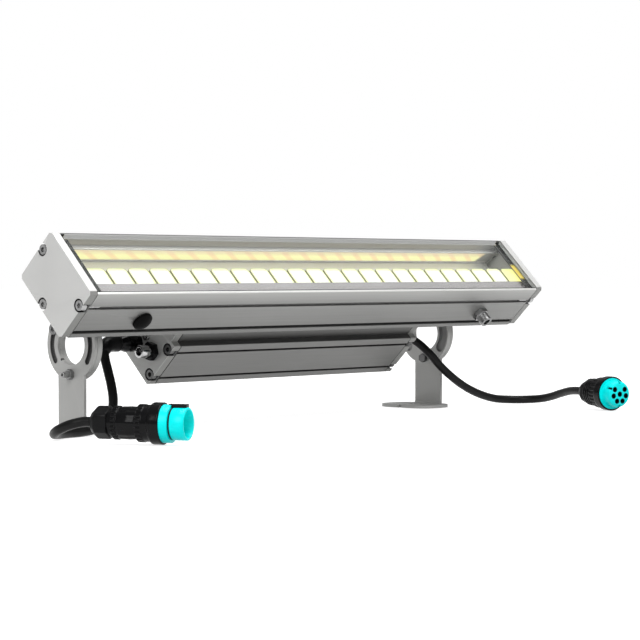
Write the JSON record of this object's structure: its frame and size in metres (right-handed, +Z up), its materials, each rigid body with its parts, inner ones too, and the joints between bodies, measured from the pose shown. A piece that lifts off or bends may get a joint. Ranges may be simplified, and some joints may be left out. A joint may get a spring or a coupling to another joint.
{
  "type": "outdoor wall washer light",
  "caption": "Linear outdoor wall washer: glazed aluminium light bar with a lens row, driver box below, two tilting ring brackets on foot plates, and corded multi-pole plugs.",
  "frame": {"origin": "midpoint between the two fixing holes of the foot plates, on the underside plane of the feet", "axes": "+X along the light bar towards its right end, +Y to the back, away from the lit face's lean, +Z up"},
  "size_m": [0.6603, 0.2364, 0.1666],
  "materials": {
    "anodised_body": "satin anodised",
    "machined_plate": "fine bead-blasted and anodised",
    "bracket_sheet": "satin powder coat",
    "front_glass": "clear toughened",
    "black_rubber": "smooth",
    "grey_rail": "mill finish",
    "white_board": "white solder mask",
    "lit_chip": "phosphor",
    "lit_lens": "clear optical, lit",
    "bright_strip": "bright reflector sheet",
    "steel_fastener": "stainless",
    "dark_fastener": "dark zinc",
    "chrome_fitting": "polished",
    "black_plastic": "glossy moulded",
    "black_cable": "satin sheath",
    "aqua_plastic": "glossy moulded",
    "contact_metal": "plated",
    "driver_case": "plain potted case"
  },
  "bodies": {
    "stand": {"left_bracket": "bracket_sheet", "right_bracket": "bracket_sheet", "left_lock_screw": "steel_fastener", "right_lock_screw": "steel_fastener", "left_lock_nut": "dark_fastener", "right_lock_nut": "dark_fastener", "left_cord": "black_cable", "right_cord": "black_cable", "male_clamp_nut": "black_plastic", "male_shell": "black_plastic", "male_insert": "aqua_plastic", "male_seal": "black_rubber", "male_key": "black_plastic", "male_pins": "contact_metal", "female_clamp_nut": "black_plastic", "female_shell": "black_plastic", "female_insert": "aqua_plastic", "female_contacts": "contact_metal"},
    "fixture": {"bar_housing": "anodised_body", "front_glass": "front_glass", "glass_seal": "black_rubber", "light_rail": "grey_rail", "led_board": "white_board", "led_chips": "lit_chip", "lens_row": "lit_lens", "side_reflector": "bright_strip", "left_end_plate": "machined_plate", "right_end_plate": "machined_plate", "left_end_gasket": "black_rubber", "right_end_gasket": "black_rubber", "bar_plate_screws": "steel_fastener", "vent_plug": "black_plastic", "pressure_valve": "chrome_fitting", "driver_housing": "anodised_body", "driver_module": "driver_case", "left_driver_plate": "machined_plate", "right_driver_plate": "machined_plate", "left_driver_gasket": "black_rubber", "right_driver_gasket": "black_rubber", "driver_plate_screws": "dark_fastener", "link_screws": "steel_fastener", "feed_bush": "black_rubber", "earth_screw": "steel_fastener", "test_port": "chrome_fitting", "test_port_nut": "black_plastic", "left_gland": "black_plastic", "right_gland": "black_plastic", "left_swivel_arm": "bracket_sheet", "right_swivel_arm": "bracket_sheet", "left_arm_screws": "steel_fastener", "right_arm_screws": "steel_fastener", "left_slot_bolts": "steel_fastener", "right_slot_bolts": "steel_fastener", "left_slot_nuts": "dark_fastener", "right_slot_nuts": "dark_fastener", "left_disc_bolt": "dark_fastener", "right_disc_bolt": "dark_fastener"},
    "male_ring": {"male_coupling_ring": "black_plastic"},
    "female_ring": {"female_coupling_ring": "black_plastic"}
  },
  "joints": [
    {"name": "tilt", "type": "hinge", "parent": "stand", "child": "fixture", "pos_m": [0, 0, 0.0733], "axis": [1, 0, 0], "range_deg": [-45, 45]},
    {"name": "male_ring_turn", "type": "hinge", "parent": "stand", "child": "male_ring", "pos_m": [-0.28642, -0.15266, 0.017], "axis": [0.4274, -0.9041, 0], "range_deg": [-60, 60]},
    {"name": "female_ring_turn", "type": "hinge", "parent": "stand", "child": "female_ring", "pos_m": [0.29386, -0.17689, 0.017], "axis": [-0.3371, -0.9415, 0], "range_deg": [-60, 60]}
  ]
}
